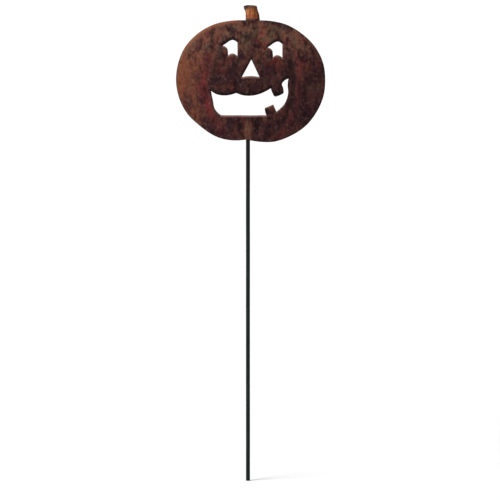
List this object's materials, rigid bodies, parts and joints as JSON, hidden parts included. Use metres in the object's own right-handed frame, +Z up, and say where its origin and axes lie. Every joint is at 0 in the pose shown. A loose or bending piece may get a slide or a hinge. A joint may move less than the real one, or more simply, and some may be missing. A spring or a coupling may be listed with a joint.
{
  "type": "jack-o'-lantern garden stake",
  "caption": "Garden stake: a pressed, rusted sheet-steel jack-o'-lantern face with a rolled stem, welded to a long round steel bar with a square-cut foot.",
  "frame": {"origin": "on the bar's axis at the ground line, 185 mm above the bar's lower end", "axes": "+Z up along the bar, the face looks along -Y, +X to the right of someone who looks at the face"},
  "size_m": [0.2862, 0.0391, 0.9185],
  "materials": {
    "rusted_sheet": "weathered, dark plum-brown rust with orange patches",
    "rusted_stem": "weathered, amber-orange rust with a dark lip",
    "painted_bar": "worn dark green-black paint",
    "weld": "as welded, rusted"
  },
  "bodies": {
    "root": {"pumpkin_face": "rusted_sheet", "pumpkin_stem": "rusted_stem", "stake_bar": "painted_bar", "chin_weld_left": "weld", "chin_weld_right": "weld", "stem_weld_left": "weld", "stem_weld_right": "weld"}
  },
  "joints": []
}
